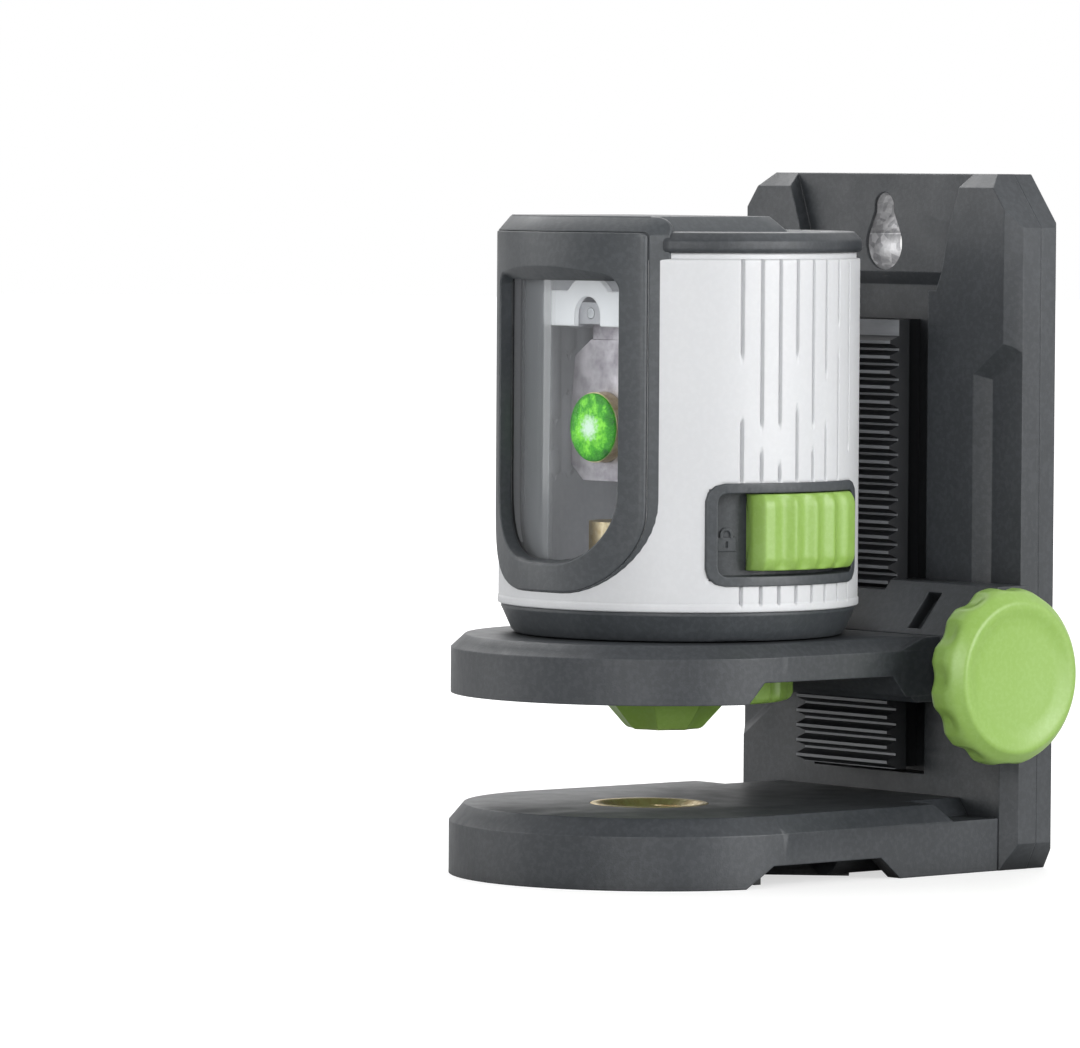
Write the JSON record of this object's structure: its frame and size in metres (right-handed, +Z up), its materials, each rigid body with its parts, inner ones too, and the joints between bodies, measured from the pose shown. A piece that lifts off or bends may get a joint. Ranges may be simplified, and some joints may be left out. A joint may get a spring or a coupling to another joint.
{
  "type": "cross-line laser level on a height-adjustable bracket",
  "caption": "Drum-shaped cross-line laser on a carriage that slides on a toothed wall plate by a side knob, above a base with a tripod thread.",
  "frame": {"origin": "on the axis of the tripod thread, at the underside of the base", "axes": "+Z up, -Y to the front where the laser window looks, +X to the side with the height knob"},
  "size_m": [0.0968, 0.1041, 0.13],
  "materials": {
    "anthracite_plastic": "fine matte texture",
    "black_plastic": "matte",
    "black_rubber": "matte",
    "green_plastic": "satin",
    "white_plastic": "satin",
    "galvanised_steel": "galvanised",
    "steel": "zinc plated",
    "brass": "turned",
    "cast_metal": "die cast",
    "clear_glass": "clear",
    "green_lens": "lit",
    "board": "solder mask",
    "battery_jacket": "printed film, bare"
  },
  "bodies": {
    "bracket": {"plate_front_shell": "anthracite_plastic", "plate_rear_shell": "anthracite_plastic", "keyhole_liner": "galvanised_steel", "plate_screws": "steel", "rack_rail": "anthracite_plastic", "rail_screws": "steel", "base_plate": "anthracite_plastic", "base_screws": "steel", "tripod_insert": "brass"},
    "carriage": {"carriage_arm": "anthracite_plastic", "pinion_housing": "anthracite_plastic", "housing_screws": "steel", "guide_jaws": "black_plastic", "jaw_screws": "steel", "shaft_bushes": "brass", "brake_ring": "black_rubber", "shaft_plug": "anthracite_plastic"},
    "height_knob_set": {"height_knob": "green_plastic", "pinion_shaft": "steel", "drive_pinion": "steel", "shaft_clip": "steel"},
    "clamp_knob_set": {"clamp_knob": "green_plastic", "clamp_screw": "steel", "clamp_clip": "steel"},
    "laser": {"laser_foot": "anthracite_plastic", "foot_insert": "brass", "foot_screws": "steel", "laser_shell": "white_plastic", "top_cap": "anthracite_plastic", "cap_screws": "steel", "window_frame": "anthracite_plastic", "window_glass": "clear_glass", "window_gasket": "black_rubber", "switch_surround": "anthracite_plastic", "chassis": "cast_metal", "chassis_screws": "steel", "circuit_board": "board", "battery_tray": "black_plastic", "batteries": "battery_jacket", "battery_contacts": "steel", "damping_magnets": "steel"},
    "cover": {"battery_cover": "white_plastic"},
    "switch": {"switch_button": "green_plastic", "lock_lever": "black_plastic"},
    "gimbal": {"gimbal_ring": "cast_metal", "gimbal_pins": "steel"},
    "pendulum": {"pendulum_body": "cast_metal", "pendulum_pins": "steel", "laser_barrel": "brass", "emitter_lens": "green_lens", "balance_weight": "brass", "trim_screws": "steel"}
  },
  "joints": [
    {"name": "height_slide", "type": "slide", "parent": "bracket", "child": "carriage", "axis": [0, 0, 1], "range_m": [-0.011, 0.048]},
    {"name": "height_knob_spin", "type": "hinge", "parent": "carriage", "child": "height_knob_set", "pos_m": [0, 0.0444, 0.0375], "axis": [1, 0, 0], "range_deg": [-615, 144]},
    {"name": "clamp_spin", "type": "hinge", "parent": "carriage", "child": "clamp_knob_set", "pos_m": [0, 0.0035, 0.03], "axis": [0, 0, 1], "continuous": true},
    {"name": "laser_swivel", "type": "hinge", "parent": "carriage", "child": "laser", "pos_m": [0, 0.0035, 0.05], "axis": [0, 0, 1], "continuous": true},
    {"name": "battery_cover_pull", "type": "slide", "parent": "laser", "child": "cover", "axis": [0, 1, 0], "range_m": [0, 0.005]},
    {"name": "switch_slide", "type": "hinge", "parent": "laser", "child": "switch", "pos_m": [0, 0.0067, 0.0646], "axis": [0, 0, 1], "range_deg": [-8, 0]},
    {"name": "gimbal_tilt", "type": "hinge", "parent": "laser", "child": "gimbal", "pos_m": [0, -0.004, 0.104], "axis": [1, 0, 0], "range_deg": [-4, 4]},
    {"name": "pendulum_tilt", "type": "hinge", "parent": "gimbal", "child": "pendulum", "pos_m": [0, -0.004, 0.104], "axis": [0, -1, 0], "range_deg": [-4, 4]}
  ],
  "couplings": [
    {"joint": "height_knob_spin", "follows": "height_slide", "rad_per_m": -222.22}
  ]
}
